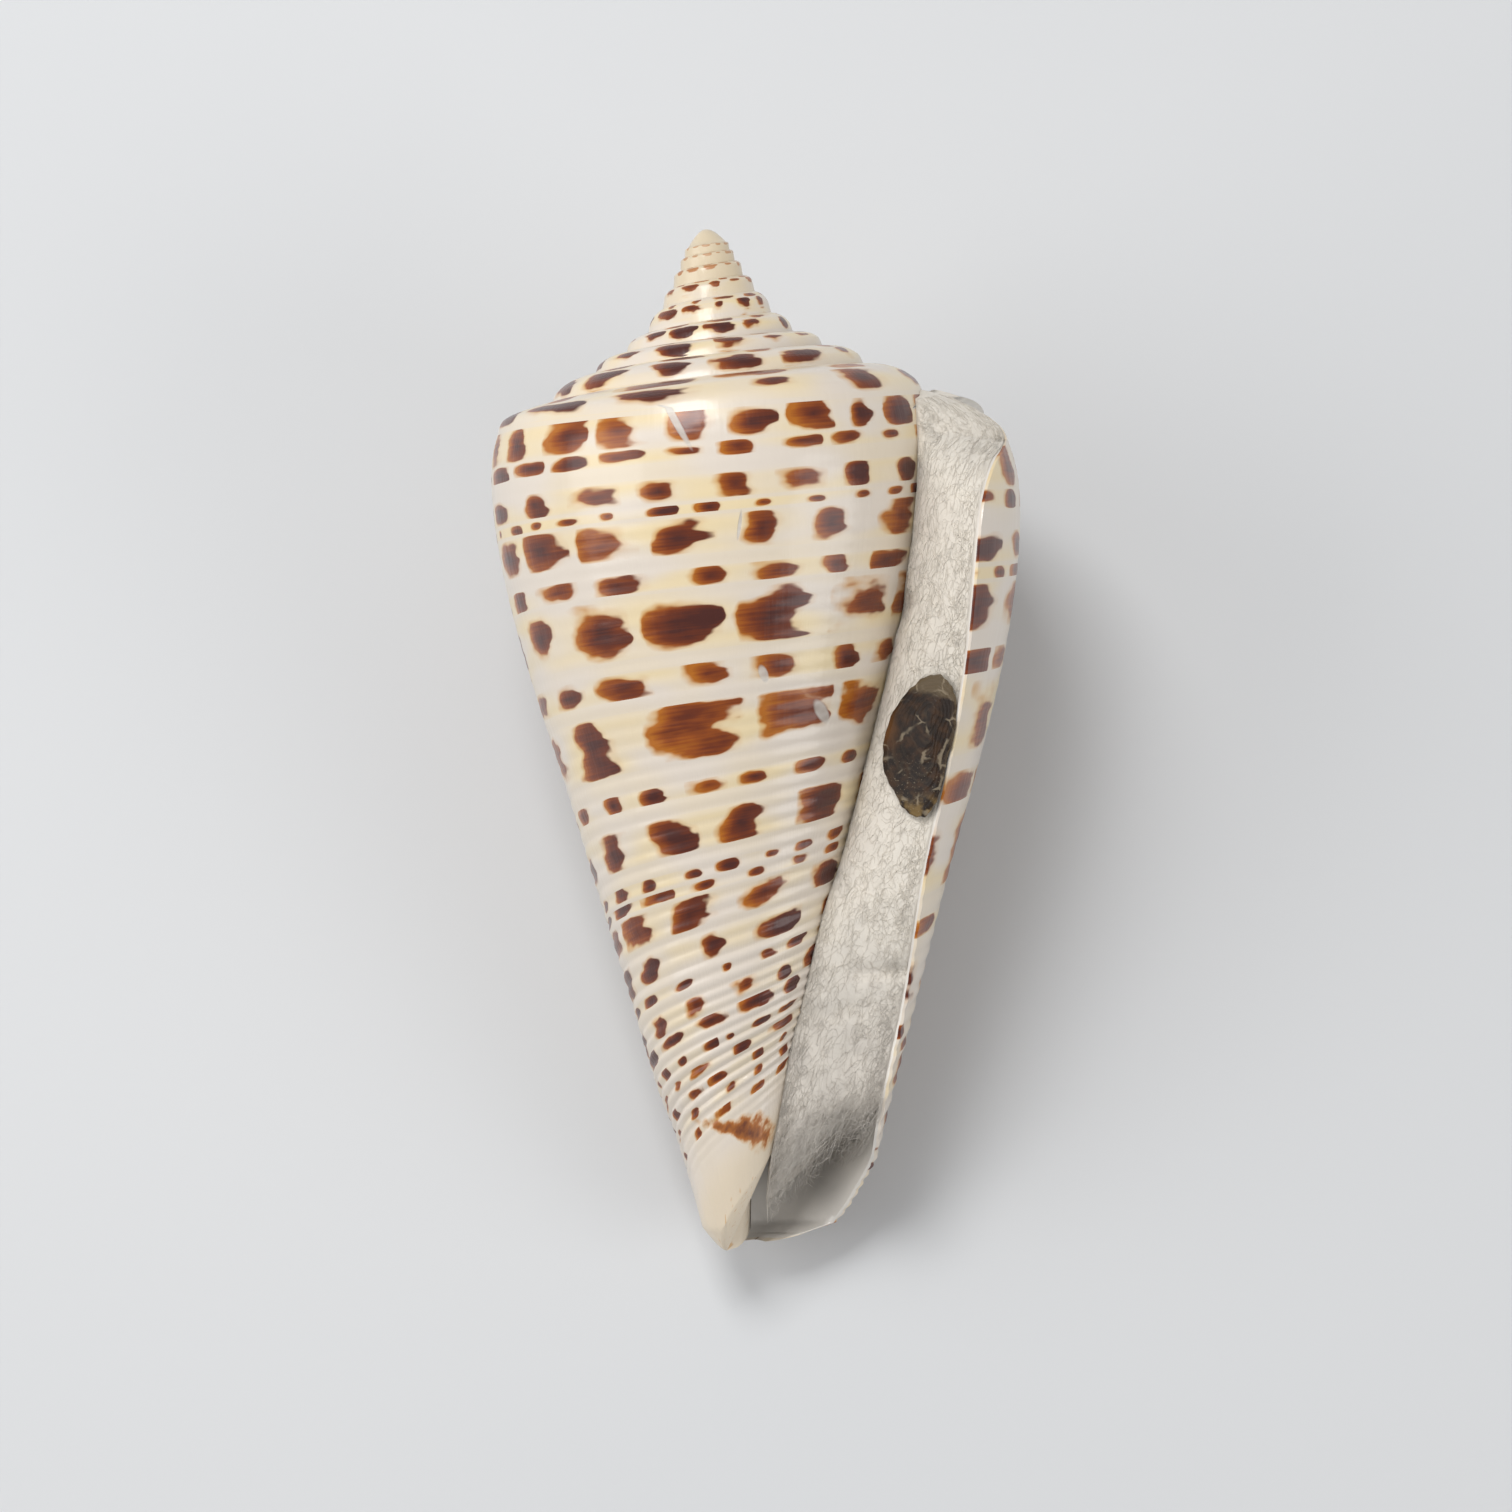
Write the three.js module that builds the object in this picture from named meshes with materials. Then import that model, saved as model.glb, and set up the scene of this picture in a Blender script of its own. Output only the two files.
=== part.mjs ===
// A cone shell lying on its back, with a wad of cotton wool in its aperture and its
// operculum laid on the cotton.
//
// The shell is a tube that widens as it coils, so every outline is worked out from one
// profile and a turn count. Turn 0 is the right side of the last whorl. The count rises by
// 1 for each whole turn towards the lip, and falls towards the apex. Millimetres.
import * as THREE from "three";

// ---- Driving dimensions -----------------------------------------------------------

const LAST_RADIUS = 20; // widest radius of the last whorl, at turn 0
const GROWTH = 0.326; // natural log of the widening over one turn
const SIDE_LENGTH = 63.7; // from shoulder to the last spiral cord, down the axis, at turn 0
const SPIRE_RISE = { start: 4.5, slope: 0.54 }; // depth of a late shoulder, by its radius
const TIP_RISE = { start: -0.45, slope: 1.6 }; // depth of a shoulder near the apex
const BEND_ROUNDING = 0.35; // how gently the two slopes of the spire meet
const SUTURE_DROP = 0.6; // how far below a shoulder the next whorl is joined on
const CROWN = 0.015; // rise of a whorl's rounded ramp, as a share of its radius
const FIRST_TURN = -9.25;
const LEAN = THREE.MathUtils.degToRad(3.7); // the spire leans to the left of the body
const LEAN_PIVOT = 23.7; // depth of the lean's pivot
const TIP_DEPTH = 72; // the front end, measured from the apex along the axis
const TIP_OFFSET = 1.8; // the very end lies this far left of the axis
const PILLAR_RADIUS = 1.1; // the solid twist round the axis, near the front end
const END_ROUNDING = 1.6; // length over which the front end closes
const BORE_END = -0.95; // growth, in turns, at which the open part of the tube ends
const WALL = 0.9; // thickness of the last whorl's wall
const LIP_EDGE = 0.5; // thickness of the wall at its free edge
const GAP = 0.3; // air between touching pieces

const STEPS = 20; // sections in one turn
const RAMP_WAYS = [0, 1 / 3, 2 / 3, 1]; // from a suture to the shoulder

// Radius down the side of a whorl, as a share of its widest radius. The first number is
// the way down from the shoulder as a share of the side's length.
const SIDE = [
  [0, 0.955], [0.045, 0.992], [0.1, 1], [0.17, 0.977], [0.26, 0.92], [0.36, 0.835],
  [0.48, 0.72], [0.61, 0.602], [0.74, 0.484], [0.86, 0.376], [0.925, 0.298], [0.99, 0.24],
  [1.05, 0.19], [1.1, 0.135], [1.2, 0.04], [1.4, 0],
];

// Turn of the last whorl's free edge down its side: the outer lip down to about 0.8, and
// then the rounded notch of the siphonal canal.
const LIP = [
  [0, 0.03], [0.045, 0.08], [0.11, 0.098], [0.3, 0.094], [0.47, 0.091], [0.6, 0.074],
  [0.75, 0.06], [0.82, 0.03], [0.86, -0.03], [0.9, -0.075], [0.94, -0.13], [0.98, -0.23],
  [1.04, -0.36], [1.1, -0.47], [1.4, -0.5],
];

// ---- The coil ---------------------------------------------------------------------

// A smooth curve through [place, value] pairs, read at a place.
function curveThrough(points) {
  const at = (i) => points[Math.min(Math.max(i, 0), points.length - 1)];
  const slope = (i) => (at(i + 1)[1] - at(i - 1)[1]) / (at(i + 1)[0] - at(i - 1)[0]);
  return (place) => {
    let i = 0;
    while (i < points.length - 2 && place > points[i + 1][0]) i += 1;
    const width = at(i + 1)[0] - at(i)[0];
    const t = THREE.MathUtils.clamp((place - at(i)[0]) / width, 0, 1);
    const near = (1 + 2 * t) * (1 - t) ** 2 * at(i)[1] + t * (1 - t) ** 2 * width * slope(i);
    const far = t * t * (3 - 2 * t) * at(i + 1)[1] - t * t * (1 - t) * width * slope(i + 1);
    return near + far;
  };
}
const sideShare = curveThrough(SIDE);
const lipTurn = curveThrough(LIP);

const widest = (turn) => LAST_RADIUS * Math.exp(GROWTH * turn);
const sideLength = (turn) => SIDE_LENGTH * Math.exp(GROWTH * turn);

// Depth of a whorl's shoulder below the apex: a steep tip, and then a flatter spire.
function shoulderDepth(turn) {
  const radius = widest(turn) * sideShare(0);
  const steep = TIP_RISE.start + TIP_RISE.slope * radius;
  const late = SPIRE_RISE.start + SPIRE_RISE.slope * radius;
  return (steep + late - Math.hypot(steep - late, 2 * BEND_ROUNDING)) / 2;
}

// Share of the side's length at which the next whorl is joined on.
const jointShare = (turn) => Math.min(SUTURE_DROP, 0.3 * widest(turn)) / sideLength(turn);

// Falls from 1 to 0 over the last stretch before the front end.
const endRounding = (depth) => Math.min(1, Math.sqrt(Math.max(TIP_DEPTH - depth, 0) / END_ROUNDING));

// Radius of a whorl's side at a depth below the apex. Near the front end it is never
// less than the solid twist round the axis.
function sideRadius(turn, depth) {
  const share = (depth - shoulderDepth(turn)) / sideLength(turn);
  return endRounding(depth) * Math.hypot(widest(turn) * sideShare(share), PILLAR_RADIUS);
}

// A point of a whorl's side, a share of the side's length below the shoulder.
function sidePoint(turn, share) {
  const depth = Math.min(shoulderDepth(turn) + share * sideLength(turn), TIP_DEPTH);
  return { turn, depth, radius: sideRadius(turn, depth) };
}

// A point of the ramp between the suture (way 0) and the shoulder (way 1).
function rampPoint(turn, way) {
  const from = sidePoint(turn - 1, jointShare(turn - 1));
  const to = sidePoint(turn, 0);
  const crown = CROWN * widest(turn) * Math.sin(Math.PI * way);
  return {
    turn,
    leanTurn: turn - 1 + way,
    depth: THREE.MathUtils.lerp(from.depth, to.depth, way) - crown,
    radius: THREE.MathUtils.lerp(from.radius, to.radius, way) + crown,
  };
}

// Places a point in space: the axis is Y with the apex at the top, and the turns run from
// +X towards +Z. The spire leans, and the front end bends, to the left. A point of a ramp
// leans as the whorls on either side of it do.
function place({ turn, depth, radius, leanTurn = turn }) {
  const { smoothstep } = THREE.MathUtils;
  const angle = 2 * Math.PI * turn;
  const point = new THREE.Vector3(radius * Math.cos(angle), -depth, radius * Math.sin(angle));
  const lean = LEAN * (1 - smoothstep(leanTurn, -1.2, -0.3)) * (1 - smoothstep(depth, 14, 26));
  const pivot = new THREE.Vector3(0, -LEAN_PIVOT, 0);
  point.sub(pivot).applyAxisAngle(new THREE.Vector3(0, 0, 1), lean).add(pivot);
  point.x -= TIP_OFFSET * (1 - endRounding(depth));
  return point;
}

// ---- Meshes from rows of points ---------------------------------------------------

// A mesh under construction. Points that fall together are one vertex.
class Surface {
  constructor() {
    this.positions = [];
    this.triangles = [];
    this.known = new Map();
  }
  add(point) {
    const key = point.toArray().map((value) => Math.round(value * 1e3)).join();
    if (!this.known.has(key)) {
      this.known.set(key, this.known.size);
      this.positions.push(...point);
    }
    return this.known.get(key);
  }
  triangle(a, b, c) {
    if (a !== b && b !== c && a !== c) this.triangles.push(a, b, c);
  }
  distance(a, b) {
    const point = (i) => new THREE.Vector3().fromArray(this.positions, 3 * i);
    return point(a).distanceTo(point(b));
  }
  // Joins two rows of as many vertices, with each quad split along its shorter diagonal.
  strip(row, next) {
    for (let j = 0; j + 1 < row.length; j += 1) {
      const [a, b, c, d] = [row[j], row[j + 1], next[j + 1], next[j]];
      const halves = this.distance(a, c) < this.distance(b, d)
        ? [[a, c, b], [a, d, c]]
        : [[a, d, b], [b, d, c]];
      halves.forEach((corners) => this.triangle(...corners));
    }
  }
  // Joins one vertex to a row.
  fan(hub, row) {
    for (let j = 0; j + 1 < row.length; j += 1) this.triangle(hub, row[j + 1], row[j]);
  }
  geometry() {
    return new THREE.BufferGeometry()
      .setAttribute("position", new THREE.Float32BufferAttribute(this.positions, 3))
      .setIndex(this.triangles);
  }
}

// A closed solid from rings of as many points each, closed over at both ends.
function loft(rings) {
  const surface = new Surface();
  const centre = (ring) => ring.reduce((sum, point) => sum.add(point), new THREE.Vector3())
    .divideScalar(ring.length);
  const loops = rings.map((ring) => [...ring, ring[0]].map((point) => surface.add(point)));
  for (let i = 0; i + 1 < loops.length; i += 1) surface.strip(loops[i], loops[i + 1]);
  surface.fan(surface.add(centre(rings[0])), [...loops[0]].reverse());
  surface.fan(surface.add(centre(rings.at(-1))), loops.at(-1));
  return surface.geometry();
}

// ---- Shell ------------------------------------------------------------------------

// Stations down a side: few on the plain cone, and many where the free edge sweeps back.
const CONE_SHARES = [0.05, 0.1, 0.16, 0.22, 0.28, 0.34, 0.43, 0.54, 0.65, 0.75];
const NOTCH = { from: 0.82, to: 1.1, steps: 12 };
const SIDE_SHARES = [...CONE_SHARES];
for (let i = 0; i <= NOTCH.steps; i += 1) {
  SIDE_SHARES.push(THREE.MathUtils.lerp(NOTCH.from, NOTCH.to, i / NOTCH.steps));
}
const TWIST_SHARE = 1.4; // where a side has run out into the solid twist
const SUTURE_THICKNESS = 1.3; // of the wall where it is joined to the whorl before
const THINNED_GROWTH = 0.06; // growth, in turns, over which the wall thins to its edge

// The rows are counted in steps of growth. Row 0 is the free edge, and row -STEPS is the
// line on the body that the free edge faces.
const turnOf = (row, share) => row / STEPS + lipTurn(share);
const onSide = (row) => (share) => sidePoint(turnOf(row, share), share);

// The seam to the next whorl, on its outside and on its inside.
function seam(row) {
  const turn = turnOf(row, 0);
  return sidePoint(turn, jointShare(turn));
}
function innerSeam(row) {
  const turn = turnOf(row, 0);
  return onSide(row)(jointShare(turn) + SUTURE_THICKNESS / sideLength(turn));
}
const twist = (row) => onSide(row)(TWIST_SHARE);
const front = { turn: 0, depth: TIP_DEPTH, radius: 0 };

const rampRow = (row) => RAMP_WAYS.map((way) => rampPoint(turnOf(row, 0), way));
const sideRow = (row) => [innerSeam(row), ...SIDE_SHARES.map(onSide(row)), twist(row)];
const outerRow = (row) => [...rampRow(row), seam(row), ...sideRow(row), front];

// The same row on the inside of the wall, from the seam to the solid twist.
function innerRow(row) {
  const wall = THREE.MathUtils.lerp(LIP_EDGE, WALL, Math.min(1, -row / STEPS / THINNED_GROWTH));
  const roof = ({ turn, depth, radius }) => ({ turn, depth: depth + wall, radius: radius - wall });
  const inside = ({ turn, depth }) => {
    const level = Math.min(depth, TIP_DEPTH - WALL);
    const radius = Math.max(sideRadius(turn, level) - wall, sideRadius(turn - 1, level) + GAP);
    return { turn, depth: level, radius };
  };
  const shoulder = onSide(row)(0);
  const roofEnd = roof(shoulder).depth;
  const below = (point) => inside({ ...point, depth: Math.max(point.depth, roofEnd) });
  const end = twist(row - STEPS);
  return [
    innerSeam(row - STEPS),
    ...rampRow(row).slice(1).map(roof),
    ...[seam(row), innerSeam(row)].map(below),
    ...SIDE_SHARES.map(onSide(row)).map(below),
    end,
    end,
  ];
}

function shellGeometry() {
  const surface = new Surface();
  const add = (points) => points.map((point) => surface.add(place(point)));
  const between = (from, to, each) => {
    for (let row = from; row < to; row += 1) each(row, row + 1);
  };

  // The tip of the spire is closed over, and its ramps coil down to the free edge.
  const firstRow = FIRST_TURN * STEPS;
  const tipRing = [];
  for (let row = firstRow - STEPS; row <= firstRow; row += 1) tipRing.push(seam(row));
  const [apex] = add([{ turn: FIRST_TURN, depth: 0, radius: 0 }]);
  surface.fan(apex, add(tipRing));
  surface.fan(apex, add([...rampRow(firstRow), seam(firstRow)]).reverse());
  const ramps = (row) => add([...rampRow(row), seam(row)]);
  between(firstRow, 0, (row, next) => surface.strip(ramps(row), ramps(next)));

  // The side of the last turn, and under it the side of the turn before, as far as the bore.
  const boreRow = Math.round(BORE_END * STEPS);
  const lastSide = (row) => add([seam(row), ...sideRow(row), front]);
  between(-STEPS, 0, (row, next) => surface.strip(lastSide(row), lastSide(next)));
  const coveredSide = (row) => add(sideRow(row));
  between(boreRow - STEPS, -STEPS, (row, next) => surface.strip(coveredSide(row), coveredSide(next)));

  // The free edge, the wall's inside, and the blind end of the bore.
  const inner = (row) => add(innerRow(row));
  surface.strip(add(outerRow(0)), inner(0));
  between(boreRow, 0, (row, next) => surface.strip(inner(next), inner(row)));
  const blind = inner(boreRow);
  const pillar = coveredSide(boreRow - STEPS);
  const roofCount = blind.length - pillar.length;
  surface.fan(pillar[0], blind.slice(1, roofCount + 1));
  surface.strip([pillar[0], ...blind.slice(roofCount)], [...pillar, pillar.at(-1)]);
  return surface.geometry();
}

const shell = new THREE.Mesh(
  shellGeometry(),
  new THREE.MeshStandardMaterial({ color: 0xd9c9a8, roughness: 0.4, metalness: 0 }));
shell.name = "shell";

// ---- Cotton plug ------------------------------------------------------------------

// A wad of cotton wool that fills the aperture level with the lip, from the shoulder to
// where the canal begins. It ends a short way inside.
const COTTON = { top: 15.4, end: 62.5, rings: 20, reach: 0.08, steps: 6, bulge: 0.45 };

// Turn of the free edge at a depth.
function lipTurnAt(depth) {
  let turn = 0;
  for (let i = 0; i < 8; i += 1) turn = lipTurn((depth - shoulderDepth(turn)) / sideLength(turn));
  return turn;
}

// Radius of the bore's outside at a depth, under the ramp or inside the wall.
function boreRadius(turn, depth) {
  const from = rampPoint(turn, 0);
  const to = rampPoint(turn, 1);
  const way = (depth - WALL - GAP - from.depth) / (to.depth - from.depth);
  const roof = THREE.MathUtils.lerp(from.radius, to.radius, Math.min(way, 1));
  return Math.min(way < 1 ? roof : Infinity, sideRadius(turn, depth)) - WALL - GAP;
}

function cottonRing(depth) {
  const edge = lipTurnAt(depth);
  const ways = [...Array(COTTON.steps + 1).keys()].map((i) => i / COTTON.steps);
  const back = ways.map((way) => edge - COTTON.reach * (1 - way));
  const pillar = back.map((turn) => ({ turn, depth, radius: sideRadius(turn - 1, depth) + GAP }));
  const wall = back.map((turn) => ({ turn, depth, radius: boreRadius(turn, depth) })).reverse();
  const face = ways.slice(1, -1).map((way) => {
    const radius = THREE.MathUtils.lerp(pillar.at(-1).radius, wall[0].radius, way);
    const bulge = COTTON.bulge * Math.sin(Math.PI * way);
    return { turn: edge + bulge / (2 * Math.PI * radius), depth, radius };
  });
  return [...pillar, ...face, ...wall].map(place);
}

function cottonGeometry() {
  const rings = [];
  for (let i = 0; i <= COTTON.rings; i += 1) {
    rings.push(cottonRing(THREE.MathUtils.lerp(COTTON.top, COTTON.end, i / COTTON.rings)));
  }
  return loft(rings);
}

const cotton = new THREE.Mesh(
  cottonGeometry(),
  new THREE.MeshStandardMaterial({ color: 0xd6d1c8, roughness: 1, metalness: 0 }));
cotton.name = "cotton_plug";

// ---- Operculum --------------------------------------------------------------------

// A thin horny plate, slightly dished, that lies on the cotton.
const OPERCULUM = { halfLength: 4.95, halfWidth: 2.65, points: 24, dish: 0.05, lean: 8, turn: 30 };
const OPERCULUM_CENTRE = new THREE.Vector3(12.45, -36.9, 9.5);
// Each ring of the plate: its share of the outline, and its height.
const OPERCULUM_RINGS = [[0.85, -0.22], [1, -0.06], [1, 0.06], [0.8, 0.2], [0.4, 0.26]];

function operculumGeometry() {
  const rings = OPERCULUM_RINGS.map(([share, height]) => {
    const ring = [];
    for (let i = 0; i < OPERCULUM.points; i += 1) {
      const angle = (-2 * Math.PI * i) / OPERCULUM.points;
      const along = share * Math.sin(angle);
      const across = share * Math.cos(angle) * (1 + 0.1 * along);
      const dish = OPERCULUM.dish * (4 * along * along + across * across);
      ring.push(new THREE.Vector3(
        OPERCULUM.halfWidth * across, OPERCULUM.halfLength * along, height - dish));
    }
    return ring;
  });
  return loft(rings);
}

const operculum = new THREE.Mesh(
  operculumGeometry(),
  new THREE.MeshStandardMaterial({ color: 0x3d2c1c, roughness: 0.45, metalness: 0 }));
operculum.name = "operculum";
operculum.rotation.set(
  0, -THREE.MathUtils.degToRad(OPERCULUM.turn), -THREE.MathUtils.degToRad(OPERCULUM.lean), "YZX");
operculum.position.copy(OPERCULUM_CENTRE);

// ---- At rest ----------------------------------------------------------------------

// The shell lies on its back, with the aperture up, the spire towards +Y and the lip on
// the +X side. It touches the surface on the widest part of the cone, where the centre of
// mass is above it. The origin is on the surface, under the middle of the shell.
const REST = { pitch: THREE.MathUtils.degToRad(13.2), roll: THREE.MathUtils.degToRad(1) };
const TOUCHING = 0.3; // corners this close to the surface are levelled with it

const group = new THREE.Group();
group.add(shell, cotton, operculum);
group.rotation.set(REST.pitch, REST.roll, 0);

const extent = new THREE.Box3().setFromObject(group, true);
group.position.set(
  -(extent.min.x + extent.max.x) / 2, -(extent.min.y + extent.max.y) / 2, -extent.min.z);
group.updateMatrixWorld(true);

const corners = shell.geometry.attributes.position;
const unplaced = shell.matrixWorld.clone().invert();
for (let i = 0; i < corners.count; i += 1) {
  const corner = new THREE.Vector3().fromBufferAttribute(corners, i).applyMatrix4(shell.matrixWorld);
  if (corner.z < TOUCHING) corners.setXYZ(i, ...corner.setZ(0).applyMatrix4(unplaced));
}

export default group;
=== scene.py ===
import math

import bpy
import mathutils.noise
import numpy as np
from mathutils import Euler, Matrix, Vector


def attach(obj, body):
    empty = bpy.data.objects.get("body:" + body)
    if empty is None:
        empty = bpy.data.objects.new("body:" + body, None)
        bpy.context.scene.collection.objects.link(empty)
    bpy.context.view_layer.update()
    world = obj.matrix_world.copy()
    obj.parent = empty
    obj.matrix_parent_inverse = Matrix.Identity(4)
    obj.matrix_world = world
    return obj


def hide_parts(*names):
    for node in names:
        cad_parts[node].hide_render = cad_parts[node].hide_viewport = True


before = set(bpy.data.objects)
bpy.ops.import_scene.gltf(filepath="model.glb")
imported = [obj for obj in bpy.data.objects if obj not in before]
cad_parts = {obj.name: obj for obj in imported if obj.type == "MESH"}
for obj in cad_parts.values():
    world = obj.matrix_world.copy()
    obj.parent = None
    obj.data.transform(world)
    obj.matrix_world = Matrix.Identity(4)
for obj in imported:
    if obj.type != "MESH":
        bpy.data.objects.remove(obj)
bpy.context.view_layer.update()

# Camera
# The shell lies on its back with its aperture up, and the camera looks down on the
# aperture. The shell's own axis leans a little in the picture, its spire to the left.
MM = 0.001
REST = Euler((math.radians(13.2), math.radians(1), 0), "ZYX").to_matrix()
PICTURE_LEAN = math.radians(1.4)
PICTURE_WIDTH = 106.5 * MM
PICTURE_MIDDLE = Vector((1.09, -37.23, 0)) * MM
LENS = 150.0
SENSOR = 36.0

# The shell's origin is its apex. Its front end is the lowest point down the axis.
FRONT_END = Vector((-1.8, -72, 0)) * MM
corners = [vertex.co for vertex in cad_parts["shell"].data.vertices]
front_end = min(corners, key=lambda corner: (REST.transposed() @ corner).y)
SHELL_ORIGIN = front_end - REST @ FRONT_END
camera_target = SHELL_ORIGIN + REST @ PICTURE_MIDDLE
picture_right = REST @ Vector((math.cos(PICTURE_LEAN), -math.sin(PICTURE_LEAN), 0))
picture_up = REST @ Vector((math.sin(PICTURE_LEAN), math.cos(PICTURE_LEAN), 0))
towards_camera = REST @ Vector((0, 0, 1))

camera_data = bpy.data.cameras.new("camera")
camera_data.lens = LENS
camera_data.sensor_width = SENSOR
camera_data.clip_start = 0.01
camera = bpy.data.objects.new("camera", camera_data)
bpy.context.collection.objects.link(camera)
camera.matrix_world = Matrix.Translation(
    camera_target + towards_camera * PICTURE_WIDTH * LENS / SENSOR
) @ Matrix((picture_right, picture_up, towards_camera)).transposed().to_4x4()
bpy.context.scene.camera = camera

# Lights
# Soft studio light: a key light beyond the spire, a wide one on the left and a weaker
# one on the right, with a pale sky all round.
LIGHT_DISTANCE = 0.42


def add_light(name, direction, size, power):
    data = bpy.data.lights.new(name, "AREA")
    data.shape = "SQUARE"
    data.size = size
    data.energy = power
    light = bpy.data.objects.new(name, data)
    bpy.context.collection.objects.link(light)
    away = (REST @ Vector(direction)).normalized()
    light.location = camera_target + away * LIGHT_DISTANCE
    light.rotation_euler = away.to_track_quat("Z", "Y").to_euler()


add_light("key_light", (-0.25, 0.62, 0.8), 0.16, 0.95)
add_light("left_light", (-0.95, 0.1, 0.55), 0.3, 0.7)
add_light("right_light", (0.85, -0.25, 0.6), 0.25, 0.5)

SKY_COLOUR = (0.97, 0.98, 1, 1)
SKY_STRENGTH = 0.42
world = bpy.data.worlds.new("studio")
bpy.context.scene.world = world
world.use_nodes = True
sky = world.node_tree.nodes["Background"]
sky.inputs["Color"].default_value = SKY_COLOUR
sky.inputs["Strength"].default_value = SKY_STRENGTH
bpy.context.scene.view_settings.view_transform = "Standard"

# Floor
# A plain pale tabletop under the shell. It is part of the stage and not of the object.


class Flow:
    """A shader socket that Python sums can be written with."""

    def __init__(self, tree, socket):
        self.tree = tree
        self.socket = socket

    def node(self, kind, settings=None, inputs=None, output=0):
        return add_node(self.tree, kind, settings, inputs, output)

    def math(self, operation, *values):
        inputs = {i: value for i, value in enumerate((self, *values))}
        return self.node("ShaderNodeMath", {"operation": operation}, inputs)

    def __add__(self, other):
        return self.math("ADD", other)

    def __sub__(self, other):
        return self.math("SUBTRACT", other)

    def __mul__(self, other):
        return self.math("MULTIPLY", other)

    def __truediv__(self, other):
        return self.math("DIVIDE", other)

    def __pow__(self, other):
        return self.math("POWER", other)

    def __abs__(self):
        return self.math("ABSOLUTE")

    def __radd__(self, other):
        return self + other

    def __rmul__(self, other):
        return self * other

    def __rsub__(self, other):
        return (self * -1) + other


def add_node(tree, kind, settings=None, inputs=None, output=0):
    """Adds a node, sets it, gives its sockets values or links, and returns an output."""
    node = tree.nodes.new(kind)
    for name, value in (settings or {}).items():
        if name == "stops":
            ramp = node.color_ramp
            while len(ramp.elements) < len(value):
                ramp.elements.new(0.5)
            for element, (position, colour) in zip(ramp.elements, value):
                element.position = position
                element.color = colour
        else:
            setattr(node, name, value)
    for name, value in (inputs or {}).items():
        if isinstance(value, Flow):
            tree.links.new(value.socket, node.inputs[name])
        else:
            node.inputs[name].default_value = value
    return Flow(tree, node.outputs[output])


def new_material(name, **constants):
    """A material and its tree, with the constants set on its own shader."""
    material = bpy.data.materials.new(name)
    material.use_nodes = True
    shader = material.node_tree.nodes["Principled BSDF"]
    for socket, value in constants.items():
        shader.inputs[socket.replace("_", " ")].default_value = value
    return material, material.node_tree, shader


def feed(tree, shader, socket, value):
    tree.links.new(value.socket, shader.inputs[socket])


def mix_colour(factor, low, high):
    """A colour between two others: the mix node's colour inputs are 6 and 7."""
    return factor.node("ShaderNodeMix", {"data_type": "RGBA"}, {0: factor, 6: low, 7: high}, 2)


def new_piece(name):
    """Names the active object and its mesh."""
    piece = bpy.context.active_object
    piece.name = name
    piece.data.name = name
    return piece


FLOOR_SIZE = 1.6
FLOOR_GREY = (0.6, 0.61, 0.62, 1)
FLOOR_PALE = (0.64, 0.645, 0.65, 1)
bpy.ops.object.select_all(action="DESELECT")
bpy.ops.mesh.primitive_plane_add(size=FLOOR_SIZE)
floor = new_piece("floor")
floor_material, tree, shader = new_material("pale_tabletop", Roughness=0.75)
mottle = add_node(tree, "ShaderNodeTexNoise", None, {"Scale": 14.0, "Detail": 3.0})
feed(tree, shader, "Base Color", mix_colour(mottle, FLOOR_GREY, FLOOR_PALE))
floor.data.materials.append(floor_material)

# Shell
# A cone shell: one tube of crystalline lime that widens as it coils round an axis. It
# grows at the lip, so its cords and rows of spots run round the coil, and its growth
# lines run parallel to the lip. All lengths of this section are in millimetres, on the
# shell's own axis: apex at the top, Y up the axis, Z towards the camera.
LAST_RADIUS = 20.0
GROWTH = 0.326
SIDE_LENGTH = 63.7
SPIRE_RISE = (4.5, 0.54)
TIP_RISE = (-0.45, 1.6)
BEND_ROUNDING = 0.35
SUTURE_DROP = 0.6
EARLY_DROP = 0.22
EARLY_TURNS = (-5.5, -3)
MOST_DROP = 0.4
CROWN = 0.022
FIRST_TURN = -9.25
LEAN = math.radians(3.7)
LEAN_PIVOT = 23.7
LEAN_END_TURNS = (-1.2, -0.3)
LEAN_END_DEPTHS = (14, 26)
TIP_DEPTH = 72.0
TIP_OFFSET = 1.8
PILLAR_RADIUS = 1.1
END_ROUNDING = 1.6
WALL = 0.95
LIP_EDGE = 0.4
SUTURE_THICKNESS = 1.3
THINNED_GROWTH = 0.05
LEAST_BORE = 0.3
TWIST_SHARE = 1.4
TURN_ROWS = 96
BORE_ROWS = 48
PATTERN_ROWS = 8
SIDE_PROFILE = [
    (0, 0.955), (0.045, 0.992), (0.1, 1), (0.17, 0.977), (0.26, 0.92), (0.36, 0.835),
    (0.48, 0.72), (0.61, 0.602), (0.74, 0.484), (0.86, 0.376), (0.925, 0.298), (0.99, 0.24),
    (1.05, 0.19), (1.1, 0.135), (1.2, 0.04), (1.4, 0),
]
LIP_TURNS = [
    (0, 0.03), (0.045, 0.08), (0.11, 0.098), (0.3, 0.094), (0.47, 0.091), (0.6, 0.074),
    (0.74, 0.06), (0.78, 0.034), (0.81, 0.0), (0.84, -0.028), (0.87, -0.05), (0.9, -0.073),
    (0.917, -0.086), (0.937, -0.13), (0.96, -0.198), (0.99, -0.27), (1.04, -0.36), (1.1, -0.47),
    (1.4, -0.5),
]


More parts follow.
